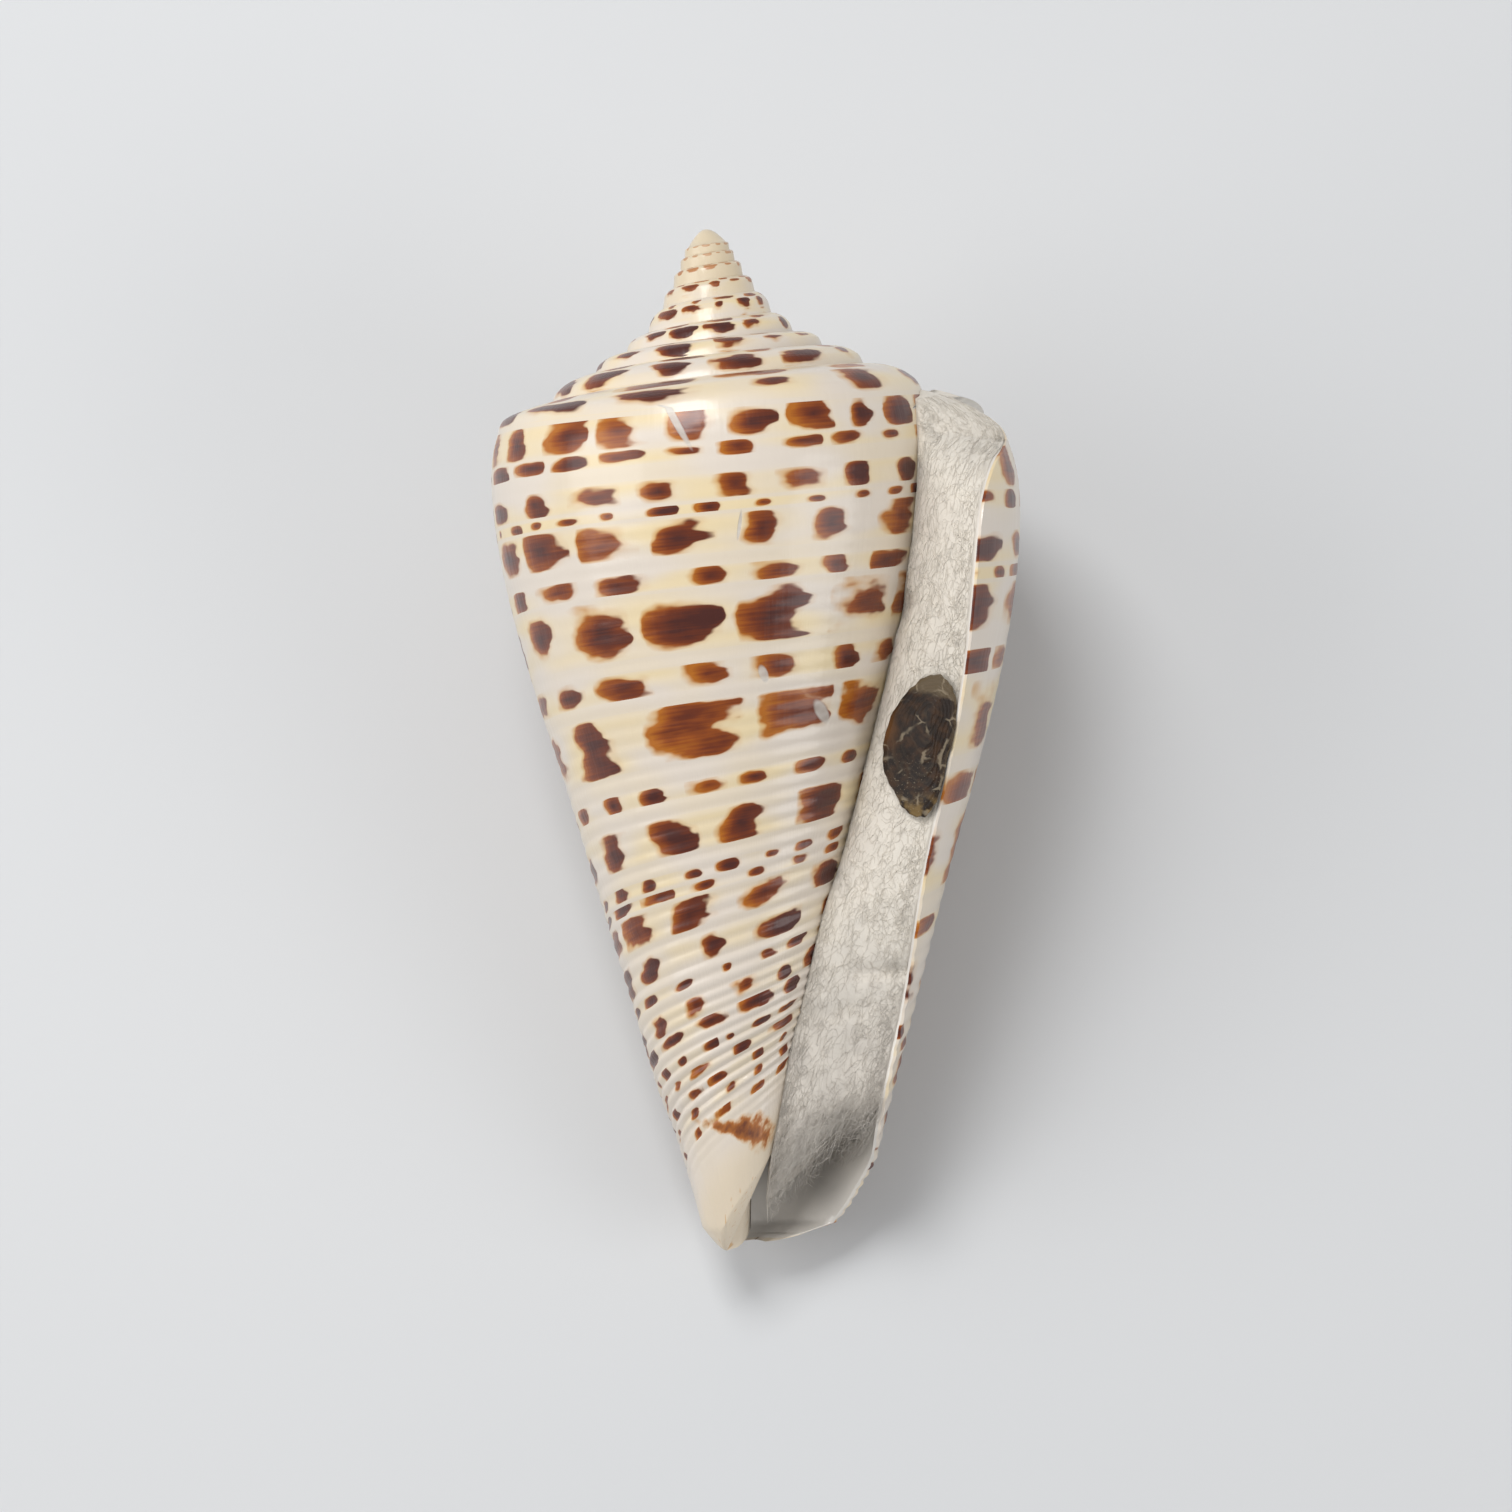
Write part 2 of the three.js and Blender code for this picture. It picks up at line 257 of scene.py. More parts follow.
def curve(points, places):
    """Reads a smooth curve through (place, value) points."""
    xs, ys = np.array(points, float).T
    places = np.asarray(places, float)
    slopes = np.empty_like(ys)
    slopes[1:-1] = (ys[2:] - ys[:-2]) / (xs[2:] - xs[:-2])
    slopes[0] = (ys[1] - ys[0]) / (xs[1] - xs[0])
    slopes[-1] = (ys[-1] - ys[-2]) / (xs[-1] - xs[-2])
    i = np.clip(np.searchsorted(xs, places, "right") - 1, 0, len(xs) - 2)
    width = xs[i + 1] - xs[i]
    t = np.clip((places - xs[i]) / width, 0, 1)
    near = (1 + 2 * t) * (1 - t) ** 2 * ys[i] + t * (1 - t) ** 2 * width * slopes[i]
    far = t * t * (3 - 2 * t) * ys[i + 1] - t * t * (1 - t) * width * slopes[i + 1]
    return near + far


def smoothstep(value, low, high):
    t = np.clip((value - low) / (high - low), 0, 1)
    return t * t * (3 - 2 * t)


def mix(low, high, way):
    return low + (high - low) * way


def widest(turn):
    return LAST_RADIUS * np.exp(GROWTH * turn)


def side_length(turn):
    return SIDE_LENGTH * np.exp(GROWTH * turn)


def shoulder_depth(turn):
    radius = widest(turn) * SIDE_PROFILE[0][1]
    steep = TIP_RISE[0] + TIP_RISE[1] * radius
    late = SPIRE_RISE[0] + SPIRE_RISE[1] * radius
    return (steep + late - np.hypot(steep - late, 2 * BEND_ROUNDING)) / 2


def joint_share(turn):
    """Where the next whorl covers the side: lower on the stepped early whorls."""
    drop = SUTURE_DROP + EARLY_DROP * (1 - smoothstep(turn, *EARLY_TURNS))
    return np.minimum(drop, MOST_DROP * widest(turn)) / side_length(turn)


def end_rounding(depth):
    return np.minimum(1, np.sqrt(np.maximum(TIP_DEPTH - depth, 0) / END_ROUNDING))


def side_radius(turn, depth):
    share = (depth - shoulder_depth(turn)) / side_length(turn)
    radius = widest(turn) * curve(SIDE_PROFILE, share)
    return end_rounding(depth) * np.hypot(radius, PILLAR_RADIUS)


def side_points(turn, share):
    depth = np.minimum(shoulder_depth(turn) + share * side_length(turn), TIP_DEPTH)
    return turn, depth, side_radius(turn, depth)


def ramp_points(turn, way):
    _, from_depth, from_radius = side_points(turn - 1, joint_share(turn - 1))
    _, to_depth, to_radius = side_points(turn, 0 * turn)
    crown = CROWN * widest(turn) * np.sin(np.pi * way)
    depth = mix(from_depth, to_depth, way) - crown
    return turn, depth, mix(from_radius, to_radius, way) + crown


def place(turn, depth, radius, lean_turn=None):
    """Points in space from turns, depths and radii, with the spire's lean."""
    lean_turn = turn if lean_turn is None else lean_turn
    angle = 2 * np.pi * turn
    x, y, z = radius * np.cos(angle), -depth, radius * np.sin(angle)
    lean = LEAN * (1 - smoothstep(lean_turn, *LEAN_END_TURNS))
    lean = lean * (1 - smoothstep(depth, *LEAN_END_DEPTHS))
    x, y = (
        x * np.cos(lean) - (y + LEAN_PIVOT) * np.sin(lean),
        x * np.sin(lean) + (y + LEAN_PIVOT) * np.cos(lean) - LEAN_PIVOT,
    )
    return np.stack([x - TIP_OFFSET * (1 - end_rounding(depth)), y, z], -1)


def in_scene(points):
    """Points of the shell's own axes, in millimetres, as they lie on the table."""
    return points * MM @ np.array(REST).T + np.array(SHELL_ORIGIN)


# The whorls carry spiral cords, low on the cone and sharp towards the front end, where
# they also stand closer. They die out on the smooth ridge beside the canal.
CORD_SHARE = 0.0205
CLOSE_CORD_SHARE = 0.0153
CORDS_CLOSE_UP = 0.8
RAMP_SCALE = 0.085
CORD_HEIGHTS = [
    (0, 0), (0.02, 0), (0.05, 0.01), (0.35, 0.016), (0.5, 0.035), (0.7, 0.065), (0.95, 0.1),
    (1.02, 0),
]
GROWTH_WAVE = 0.035
WAVES_A_TURN = 31
WAVE_GROUPS_A_TURN = 11.7
WAVE_SLANT = 2.2


def cord_count(share):
    """Number of cords between the shoulder and a place down the side."""
    above = np.minimum(share, CORDS_CLOSE_UP) / CORD_SHARE
    return above + np.maximum(share - CORDS_CLOSE_UP, 0) / CLOSE_CORD_SHARE


def cords(turn, share):
    """Height of the surface detail above the plain side."""
    wave = 0.5 - 0.5 * np.cos(2 * np.pi * cord_count(share))
    height = np.interp(share, *np.array(CORD_HEIGHTS).T) * (wave**0.7 * 2 - 1)
    undulation = np.sin(2 * np.pi * (WAVES_A_TURN * turn + WAVE_SLANT * share))
    undulation = undulation * np.sin(2 * np.pi * WAVE_GROUPS_A_TURN * turn)
    height = height + GROWTH_WAVE * undulation * smoothstep(share, 0.03, 0.12)
    return height * widest(turn) / LAST_RADIUS


# Rows of spots, each with its start and end, the turns from spot to spot, the turn of one
# of its spots, the spots' length as a share of that, and how dark they are. Places below
# zero are on the ramp, which runs from -1 at the suture to 0 at the shoulder.
SPOT_ROWS = [
    (-0.86, -0.5, 0.093, -0.79, 0.27, 0.25), (-0.46, 0.011, 0.083, -0.782, 0.33, 0.75),
    (0.014, 0.062, 0.046, -0.766, 0.29, 0.3), (0.063, 0.083, 0.045, -0.763, 0.34, 0.45),
    (0.106, 0.142, 0.049, -0.797, 0.34, 0.6), (0.144, 0.159, 0.035, -0.773, 0.27, 0.3),
    (0.16, 0.214, 0.062, -0.786, 0.35, 0.5), (0.23, 0.258, 0.058, -0.778, 0.34, 0.3),
    (0.259, 0.344, 0.078, -0.79, 0.36, 0.45), (0.358, 0.396, 0.064, -0.777, 0.35, 0.35),
    (0.41, 0.49, 0.088, -0.782, 0.35, 0.4), (0.515, 0.537, 0.06, -0.782, 0.33, 0.35),
    (0.558, 0.611, 0.084, -0.757, 0.3, 0.6), (0.629, 0.648, 0.05, -0.733, 0.24, 0.5),
    (0.65, 0.667, 0.06, -0.75, 0.33, 0.5), (0.669, 0.713, 0.086, -0.768, 0.3, 0.6),
    (0.722, 0.761, 0.092, -0.708, 0.27, 0.65), (0.771, 0.787, 0.063, -0.711, 0.23, 0.6),
    (0.799, 0.83, 0.07, -0.728, 0.26, 0.7), (0.831, 0.853, 0.075, -0.686, 0.28, 0.6),
    (0.865, 0.879, 0.06, -0.735, 0.24, 0.5), (0.888, 0.903, 0.075, -0.74, 0.28, 0.4),
    (0.911, 0.925, 0.07, -0.686, 0.2, 0.4), (0.933, 0.948, 0.075, -0.764, 0.23, 0.35),
    (0.957, 0.973, 0.08, -0.75, 0.22, 0.3),
]


def paint(red, green, blue):
    """A colour given as on a paint chart, from 0 to 255, as light."""
    channels = [value / 255 for value in (red, green, blue)]
    return (*(c / 12.92 if c < 0.04 else ((c + 0.055) / 1.055) ** 2.4 for c in channels), 1)


def ease(value, low, high, bottom=0.0, top=1.0):
    """Goes smoothly from bottom to top as the value goes from low to high."""
    settings = {"interpolation_type": "SMOOTHSTEP"}
    inputs = {"Value": value, "From Min": low, "From Max": high, "To Min": bottom, "To Max": top}
    return add_node(value.tree, "ShaderNodeMapRange", settings, inputs)


def noise(vector, scale, detail=2.0, dimensions="3D", output=0):
    settings = {"noise_dimensions": dimensions}
    inputs = {"Vector": vector, "Scale": scale, "Detail": detail}
    return add_node(vector.tree, "ShaderNodeTexNoise", settings, inputs, output)


def point(x, y, z=0.0):
    return add_node(x.tree, "ShaderNodeCombineXYZ", None, {"X": x, "Y": y, "Z": z})


def parts_of(vector):
    node = vector.tree.nodes.new("ShaderNodeSeparateXYZ")
    vector.tree.links.new(vector.socket, node.inputs[0])
    return [Flow(vector.tree, output) for output in node.outputs]


def add_relief(tree, shader, height, strength, distance):
    """Raises and sinks the surface by a height, through a bump node."""
    inputs = {"Strength": strength, "Distance": distance, "Height": height}
    feed(tree, shader, "Normal", add_node(tree, "ShaderNodeBump", None, inputs))


# The outside: cream to bluish white, with rows of spots. A spot is brown with an ochre rim
# on its younger side, and darker and ragged along the cords on its older side.
COOL_WHITE = paint(218, 207, 194)
CREAM = paint(227, 207, 164)
TIP_CREAM = paint(212, 196, 168)
OCHRE = paint(196, 138, 48)
SPOT_COLOURS = [
    (0.0, paint(172, 100, 22)), (0.3, paint(142, 70, 14)), (0.62, paint(106, 44, 14)),
    (1.0, paint(72, 30, 22)),
]
FRONT_CREAM = paint(220, 205, 182)
# Painted shade for the grooves between the lower cords.
GROOVE_PAINTED_SHADE = paint(196, 184, 168)
SCAR_EDGE = paint(150, 138, 124)
SCAR_PALE = paint(226, 222, 216)
STAIN = paint(96, 40, 18)
STAIN_EDGE = paint(168, 98, 34)

outside, tree, shader = new_material(
    "spotted_outside", Roughness=0.36, Coat_Weight=0.4, Coat_Roughness=0.14,
    Specular_IOR_Level=0.3)
coil = add_node(tree, "ShaderNodeUVMap", {"uv_map": "coil"})
turn, way, _ = parts_of(coil)
spot_map = add_node(tree, "ShaderNodeUVMap", {"uv_map": "spots"})
spot_x, spot_y, _ = parts_of(spot_map)
length, tone, _ = parts_of(add_node(tree, "ShaderNodeUVMap", {"uv_map": "style"}))
place_in_space = add_node(tree, "ShaderNodeTexCoord", output=3)
along = way.math("MAXIMUM", 0.0)
cord = along.math("MINIMUM", CORDS_CLOSE_UP) / CORD_SHARE
cord = cord + (along - CORDS_CLOSE_UP).math("MAXIMUM", 0.0) / CLOSE_CORD_SHARE
down = along + way.math("MINIMUM", 0.0) * RAMP_SCALE

# Spots stand in cells along their row. Each cell draws its own size, shift and outline.
# Spots on the early whorls are a little larger, smoother in outline and paler.
FADED_TURNS = (-7.2, -4.2)
row = spot_y.math("FLOOR")
level = (spot_y - row) * 2 - 1
drift = noise(point(turn * 3.1, row * 7.3), 1.0, 0.0, "2D")
along_row = spot_x + (drift - 0.5) * 0.9
cell = along_row.math("FLOOR")
draw = add_node(
    tree, "ShaderNodeTexWhiteNoise", {"noise_dimensions": "2D"}, {"Vector": point(cell, row)}, 1)
draw_length, draw_height, draw_shift = parts_of(draw)
draw_tone = add_node(
    tree, "ShaderNodeTexWhiteNoise", {"noise_dimensions": "2D"},
    {"Vector": point(cell + 0.37, row)})
early_growth = ease(turn, -7.0, -4.0, 1.1, 1.0)
half_length = length * ease(draw_length, 0.0, 1.0, 0.58, 1.2) * early_growth + 0.0001
half_height = ease(draw_height, 0.0, 0.7, 0.58, 0.94) * early_growth
u = (along_row - cell - 0.5 - (draw_shift - 0.5) * 0.22) / half_length
v = (level - (draw_tone - 0.5) * 0.25) / half_height
age = ease(turn, *FADED_TURNS)
comb = noise(point(cell * 3.7 + row * 1.9, cord * 0.95), 1.0, 0.0, "2D")
older = (u * -1).math("MAXIMUM", 0.0)
younger = u.math("MAXIMUM", 0.0)
reach = older / ease(comb, 0.38, 0.62, 0.82, 1.14) + younger * 1.05
spread = reach**2.5 + abs(v) ** 2.5
outline = noise(point(turn * 52, down * 66, row * 0.7), 1.0, 1.0)
lobes = noise(point(turn * 21, down * 30, row * 1.7), 1.0, 0.0)
ragged = age * 0.8 + 0.2
edge = spread.math("POWER", 0.4) + (outline - 0.5) * 0.8 * ragged + (lobes - 0.5) * 1.7 * ragged
# A spot draws in before the end of its cell, so that no straight cut shows.
cell_end = ease(abs(along_row - cell - 0.5), 0.4, 0.5) * 0.6
edge = edge + cell_end + ease(abs(level), 0.84, 1.0) * 0.45
spot = ease(edge, 0.9, 1.13, 1.0, 0.0)
halo = ease(edge, 0.95, 1.5, 1.0, 0.0) * ease(u, -1.2, 0.6, 0.3, 1.0)

# Fine lighter and darker streaks along the cords within the spots: partly the spots' own grain
# and partly painted sheen.
cord_streaks_and_painted_sheen = noise(point(turn * 22, down * 260), 1.0, 1.0, "2D")
depth = (1 - edge) * 0.62 - u * 0.3 + tone * 0.62
depth = (depth + (draw_tone - 0.5) * 0.3 + (cord_streaks_and_painted_sheen - 0.5) * 0.45) * age
spot_colour = add_node(tree, "ShaderNodeValToRGB", {"stops": SPOT_COLOURS}, {"Fac": depth})

# The ground between the spots: creamier along the rows. Painted shade makes it greyer in the
# grooves between the lower cords.
patches = noise(point(turn * 9, down * 16, 3.0), 1.0, 1.0)
in_row = ease(length, 0.05, 0.2) * ease(abs(level), 0.55, 1.0, 1.0, 0.3)
warm = ease(patches, 0.36, 0.64) * (in_row * 0.6 + 0.3) * ease(along, 0.5, 0.95, 1.0, 0.45)
ground = mix_colour(warm, COOL_WHITE, CREAM)
ground = mix_colour(1 - age, ground, TIP_CREAM)
ground = mix_colour(ease(way, 1.0, 1.06), ground, FRONT_CREAM)
crest = (cord * math.tau).math("COSINE") * -0.5 + 0.5
# Painted shade: grey laid into the grooves between the lower cords.
groove_painted_shade = (1 - crest) ** 3 * ease(way, 0.3, 0.75, 0.0, 0.5) * ease(way, 0.97, 1.01, 1.0, 0.0)
ground = mix_colour(groove_painted_shade * 0.5, ground, GROOVE_PAINTED_SHADE)
haloed = mix_colour(halo * age * 0.72, ground, OCHRE)
coloured = mix_colour(spot * ease(turn, -8.0, -5.5, 0.6, 1.0), haloed, spot_colour)

# A brown stain edges the smooth ridge beside the canal.
STAIN_TURN = -0.735
STAIN_LENGTH = 0.105
stain_edge = noise(point(turn * 40, way * 70), 1.0, 2.0, "2D")
stain_line = (way - 1.0 + (turn + 0.71) * 0.456) / ease(turn, -0.78, -0.68, 0.024, 0.009)
stain_reach = ((turn - STAIN_TURN) / STAIN_LENGTH) ** 2 + stain_line**2
stain_reach = stain_reach + (stain_edge - 0.5) * 2.2
stain_rim = ease(stain_reach, 0.7, 1.9, 1.0, 0.0)
stain = ease(stain_reach, 0.5, 1.1, 1.0, 0.0)
coloured = mix_colour(stain_rim * 0.55, coloured, OCHRE)
stain_colour = mix_colour(ease(stain_reach, -0.5, 0.8), STAIN, STAIN_EDGE)
coloured = mix_colour(stain * 0.95, coloured, stain_colour)
specks = ease(noise(point(turn * 46, way * 60, 9.0), 1.0, 1.0), 0.64, 0.72) * ease(way, 1.06, 1.1)
coloured = mix_colour(specks * 0.6, coloured, OCHRE)

# Healed scars and chips: grey, dull and a little sunken. Each has its turn, its way down
# the side, its half length and half width, and its lean in degrees.
SCARS = [
    (-0.712, 0.026, 2.5, 0.26, 62), (-0.754, 0.18, 1.0, 0.13, 100),
    (-0.772, 0.386, 0.7, 0.36, 60), (-0.833, 0.452, 1.3, 0.5, 40),
    (-0.18, 0.34, 1.1, 0.2, 70), (-0.42, 0.12, 0.8, 0.25, 50),
]
scarred = None
for at_turn, at_way, half, width, lean in SCARS:
    across = (turn - at_turn) * -2 * math.pi * float(widest(at_turn))
    down = (way - at_way) * float(side_length(at_turn))
    cosine, sine = math.cos(math.radians(lean)), math.sin(math.radians(lean))
    lengthwise = (across * cosine + down * sine) / half
    crosswise = (across * -sine + down * cosine) / width
    one = ease(lengthwise**2 + crosswise**2, 0.5, 1.3, 1.0, 0.0)
    scarred = one if scarred is None else scarred.math("MAXIMUM", one)
scar_colour = mix_colour(outline, SCAR_EDGE, SCAR_PALE)
coloured = mix_colour(scarred * 0.85, coloured, scar_colour)
feed(tree, shader, "Base Color", coloured)

growth = noise(point(turn * 230, way * 9), 1.0, 3.0, "2D")
pits = noise(place_in_space, 1400.0, 3.0)
feed(tree, shader, "Roughness", growth * 0.16 + 0.26 + scarred * 0.3)
relief = growth * 0.5 + pits * 0.25 + scarred * -1.6 + cord_streaks_and_painted_sheen * spot * 0.25
add_relief(tree, shader, relief, 0.35, 0.12 * MM)

# The inside and the lip: white porcelain, greyer deep inside, with faint growth steps.
PORCELAIN = paint(224, 218, 209)
PORCELAIN_SHADE = paint(204, 199, 192)
inside_material, tree, shader = new_material(
    "porcelain_inside", Roughness=0.3, Coat_Weight=0.4, Coat_Roughness=0.1, IOR=1.5)
place_in_space = add_node(tree, "ShaderNodeTexCoord", output=3)
clouds = noise(place_in_space, 160.0, 3.0)
feed(tree, shader, "Base Color", mix_colour(ease(clouds, 0.35, 0.7), PORCELAIN, PORCELAIN_SHADE))
add_relief(tree, shader, noise(place_in_space, 900.0, 2.0), 0.2, 0.1 * MM)


def corner_points(mesh):
    """The vertex at each corner of each face."""
    corners = np.empty(len(mesh.loops), int)
    mesh.loops.foreach_get("vertex_index", corners)
    return corners


def add_sheet(points, turn, way, material_index):
    """Lays a grid over rows of points, and keeps the coil's places and spots in its maps."""
    rows, columns = points.shape[:2]
    bpy.ops.mesh.primitive_grid_add(x_subdivisions=columns - 1, y_subdivisions=rows - 1)
    sheet = bpy.context.active_object
    mesh = sheet.data
    mesh.materials.append(outside)
    mesh.materials.append(inside_material)
    turn = np.broadcast_to(turn, (rows, columns))
    way = np.broadcast_to(way, (rows, columns))
    mesh.vertices.foreach_set("co", in_scene(points).ravel())
    mesh.polygons.foreach_set("material_index", np.full(len(mesh.polygons), material_index))
    corners = corner_points(mesh)
    face_columns = np.repeat(np.arange(len(mesh.polygons)) % (columns - 1), 4)
    turns, ways = turn.ravel()[corners], way.ravel()[corners]
    middles = (way[-1, :-1] + way[-1, 1:])[face_columns] / 2
    spots = np.zeros((len(corners), 2))
    style = np.zeros((len(corners), 2))
    for row, (start, end, period, anchor, length, tone) in enumerate(SPOT_ROWS):
        inside = (middles > start) & (middles < end)
        level = np.clip((ways[inside] - start) / (end - start), 0.01, 0.99)
        spots[inside] = np.stack([(turns[inside] - anchor) / period + 0.5, row + level], -1)
        style[inside] = length, tone
    mesh.uv_layers.remove(mesh.uv_layers[0])
    coil_places = np.stack([turns, ways], -1)
    for name, values in (("coil", coil_places), ("spots", spots), ("style", style)):
        mesh.uv_layers.new(name=name).data.foreach_set("uv", values.ravel())
    return sheet


# Each row of points runs from the suture over the ramp and down the side to the front end.
RAMP_COLUMNS = 11
SHOULDER_COLUMNS = 6
SHOULDER_START = 0.9
SEAM_COLUMNS = 5
SIDE_SHARES = np.concatenate([
    np.arange(0.05, 0.76, 0.0043), np.arange(0.76, 0.87, 0.003),
    np.arange(0.87, 0.95, 0.0013), np.arange(0.95, 1.1, 0.0043),
])


def lip_turns(rows, share):
    return rows[:, None] / TURN_ROWS + curve(LIP_TURNS, share)


def ramp_rows(rows):
    """The ramp and the rounded shoulder, down to the seam with the next whorl."""
    turn = lip_turns(rows, np.zeros(1))
    ways = np.linspace(0, SHOULDER_START, RAMP_COLUMNS)
    _, depth, radius = ramp_points(turn, ways)
    _, corner_depth, corner_radius = side_points(turn, 0 * turn)
    _, seam_depth, seam_radius = side_points(turn, joint_share(turn))
    t = np.linspace(0, 1, SHOULDER_COLUMNS)[1:]
    first, middle, final = (1 - t) ** 2, 2 * t * (1 - t), t**2
    round_depth = first * depth[:, -1:] + middle * corner_depth + final * seam_depth
    round_radius = first * radius[:, -1:] + middle * corner_radius + final * seam_radius
    way = np.concatenate([ways - 1 + 0 * turn, mix(SHOULDER_START - 1, joint_share(turn), t)], 1)
    turns = turn + 0 * way
    lean = turns - 1 + np.clip(way + 1, 0, 1)
    return turns, np.hstack([depth, round_depth]), np.hstack([radius, round_radius]), lean, way


def side_rows(rows):
    """The side from the seam down to the front end."""
    turn = lip_turns(rows, np.zeros(1))
    seam = joint_share(turn)
    inner = seam + SUTURE_THICKNESS / side_length(turn)
    inner_turn = rows[:, None] / TURN_ROWS + curve(LIP_TURNS, inner)
    t = np.linspace(0, 1, SEAM_COLUMNS)
    share = [mix(seam, inner, t), mix(inner, SIDE_SHARES[0], t[1:-1]), SIDE_SHARES + 0 * turn]
    share = np.concatenate([*share, TWIST_SHARE + 0 * turn], 1)
    turns = rows[:, None] / TURN_ROWS + curve(LIP_TURNS, share)
    turns[:, :SEAM_COLUMNS] = mix(turn, inner_turn, t)
    _, depth, radius = side_points(turns, share)
    return turns, depth, radius, share


def with_front(points):
    """Adds the very end of the shell to each row."""
    front = place(np.zeros(1), np.full(1, TIP_DEPTH), np.zeros(1))
    return np.concatenate([points, np.broadcast_to(front, (len(points), 1, 3))], 1)


def outside_rows(rows):
    turns, depth, radius, share = side_rows(rows)
    radius = radius + cords(turns, share) * end_rounding(depth)
    return with_front(place(turns, depth, radius)), turns, share


def inside_rows(rows):
    """The inside of the tube, with as many points as the ramp and side outside it."""
    wall = mix(LIP_EDGE, WALL, np.minimum(1, -rows[:, None] / TURN_ROWS / THINNED_GROWTH))
    turns, depth, radius, lean, _ = ramp_rows(rows)
    roof = place(turns, depth + wall, radius - wall, lean)
    roof_end = depth[:, -1:] + wall
    turns, depth, radius, _ = side_rows(rows)
    level = np.minimum(np.maximum(depth, roof_end), TIP_DEPTH - WALL)
    radius = side_radius(turns, level) - wall
    radius = np.maximum(radius, side_radius(turns - 1, level) + LEAST_BORE)
    cone = place(turns, level, radius)
    before, _, _ = outside_rows(rows - TURN_ROWS)
    roof[:, 0] = before[:, SEAM_COLUMNS - 1]
    end = before[:, -2:-1]
    return np.concatenate([roof, cone[:, 1:-1], end, end], 1)


def close_up(fill=False):
    """Merges the active object's doubles, fills its open ends and faces it outward."""
    bpy.ops.object.mode_set(mode="EDIT")
    bpy.ops.mesh.select_all(action="SELECT")
    bpy.ops.mesh.remove_doubles(threshold=1e-6)
    if fill:
        bpy.ops.mesh.select_all(action="DESELECT")
        bpy.ops.mesh.select_non_manifold()
        bpy.ops.mesh.fill_holes(sides=0)
        bpy.ops.mesh.select_all(action="SELECT")
    bpy.ops.mesh.normals_make_consistent(inside=False)
    bpy.ops.object.mode_set(mode="OBJECT")


bpy.ops.object.select_all(action="DESELECT")
sheets = []
first_row = round(FIRST_TURN * TURN_ROWS)
OUTSIDE, INSIDE = 0, 1

# The ramps of the spire, one turn of the cone's side, and the covered side within.
rows = np.arange(first_row, 1)
turns, depth, radius, lean, way = ramp_rows(rows)
ramps = place(turns, depth, radius, lean)
sheets.append(add_sheet(ramps, turns, way, OUTSIDE))
rim_turns, rim_way = turns[-1], way[-1]

rows = np.arange(-TURN_ROWS, 1)
side, turns, share = outside_rows(rows)
turns = np.hstack([turns, turns[:, -1:]])
share = np.hstack([share, share[:, -1:]])
sheets.append(add_sheet(side, turns, share, OUTSIDE))
rim_turns, rim_way = np.append(rim_turns, turns[-1, 1:]), np.append(rim_way, share[-1, 1:])

# The pattern goes on a little way into the aperture before the porcelain covers it.
rows = np.arange(-TURN_ROWS - PATTERN_ROWS, -TURN_ROWS + 1)
covered, turns, share = outside_rows(rows)
within = slice(SEAM_COLUMNS - 1, -1)
turns, share = turns[:, SEAM_COLUMNS - 1 :], share[:, SEAM_COLUMNS - 1 :]
sheets.append(add_sheet(covered[:, within], turns, share, OUTSIDE))
rows = np.arange(-TURN_ROWS - BORE_ROWS, -TURN_ROWS - PATTERN_ROWS + 1)
covered, _, _ = outside_rows(rows)
sheets.append(add_sheet(covered[:, within], 0, 0, INSIDE))

# The inside of the tube, and the rounded free edge between it and the outside.
rows = np.arange(-BORE_ROWS, 1)
inside = inside_rows(rows)
sheets.append(add_sheet(inside, 0, 0, INSIDE))

outer_edge = np.concatenate([ramps[-1], side[-1, 1:]])
inner_edge = inside[-1]
growth_way = np.concatenate([ramps[-1] - ramps[-2], side[-1, 1:] - side[-2, 1:]])
growth_way /= np.linalg.norm(growth_way, axis=-1, keepdims=True) + 1e-9
EDGE_ROUNDING = 0.16
MOST_BULGE = 0.2
edge_width = np.linalg.norm(outer_edge - inner_edge, axis=-1)
rim = []
for t in np.linspace(0, 1, SEAM_COLUMNS):
    bulge = np.minimum(EDGE_ROUNDING * math.sin(math.pi * t) * edge_width, MOST_BULGE)
    rim.append(mix(outer_edge, inner_edge, t) + growth_way * bulge[:, None])
rim[0], rim[-1] = outer_edge, inner_edge
rim = np.array(rim)
rim[:, 0] = side[0, :SEAM_COLUMNS]
sheets.append(add_sheet(rim[:3], rim_turns, rim_way, OUTSIDE))
sheets.append(add_sheet(rim[2:], 0, 0, INSIDE))

# The tip of the spire is a low dome over the first whorl.
DOME_ROWS = 6
ring = np.concatenate([ramps[: TURN_ROWS + 1, 0], ramps[0, ::-1]])
apex = place(np.full(1, FIRST_TURN), np.zeros(1), np.zeros(1))
t = np.linspace(0, 1, DOME_ROWS)[:, None, None]
dome = mix(ring, apex, t)
dome[..., 1] = mix(ring[:, 1], apex[0, 1], np.sin(t[..., 0] * np.pi / 2))
sheets.append(add_sheet(dome, FIRST_TURN, -0.9, OUTSIDE))

for sheet in sheets:
    sheet.select_set(True)
bpy.context.view_layer.objects.active = sheets[0]
bpy.ops.object.join()
shell = new_piece("cone_shell")
close_up(fill=True)
bpy.ops.object.shade_smooth_by_angle(angle=math.radians(50))
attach(shell, "root")
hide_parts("shell")

